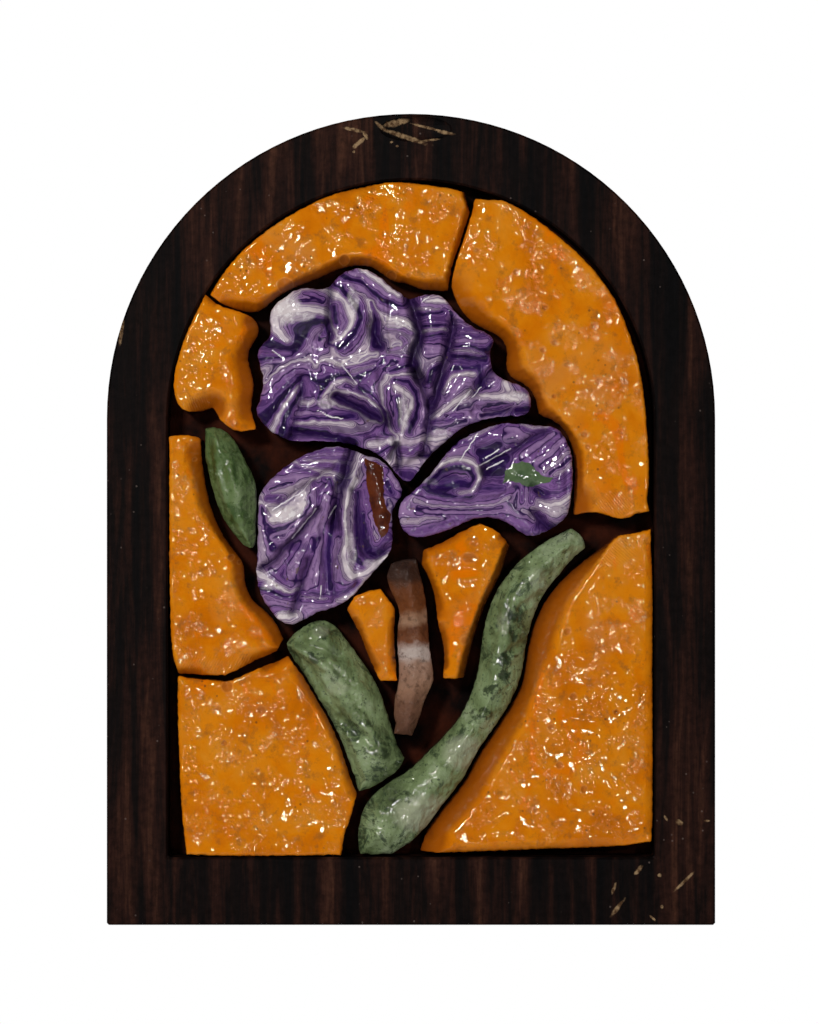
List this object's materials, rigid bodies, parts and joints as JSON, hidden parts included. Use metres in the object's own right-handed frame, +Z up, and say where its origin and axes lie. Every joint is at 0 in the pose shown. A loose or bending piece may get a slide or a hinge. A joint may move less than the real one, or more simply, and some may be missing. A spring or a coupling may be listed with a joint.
{
  "type": "mosaic panel",
  "caption": "Arched wall plaque: a carved iris in purple and green stone, inlaid between orange stone tiles in a dark wooden frame.",
  "frame": {"origin": "middle of the flat back of the backing board, where the panel lies against the wall", "axes": "+Z up the panel towards the crown of the arch, +X to the right of someone who looks at the front, +Y into the wall"},
  "size_m": [0.15, 0.0201, 0.2],
  "materials": {
    "dark_wood": "near-black stained wood under varnish, worn at the edges",
    "backing_wood": "dark red-brown stained board",
    "orange_stone": "wet-looking varnish over clouded orange stone",
    "purple_stone": "polished banded purple and white stone",
    "green_stone": "polished mottled green stone",
    "banded_stone": "polished brown and white banded stone"
  },
  "bodies": {
    "root": {"frame": "dark_wood", "backboard": "backing_wood", "tile_top": "orange_stone", "tile_upper_left": "orange_stone", "tile_upper_right": "orange_stone", "tile_left": "orange_stone", "tile_lower_left": "orange_stone", "tile_lower_right": "orange_stone", "wedge_left": "orange_stone", "wedge_right": "orange_stone", "upper_petals": "purple_stone", "lower_left_petal": "purple_stone", "lower_right_petal": "purple_stone", "small_leaf": "green_stone", "short_leaf": "green_stone", "long_leaf": "green_stone", "stem": "banded_stone"}
  },
  "joints": []
}
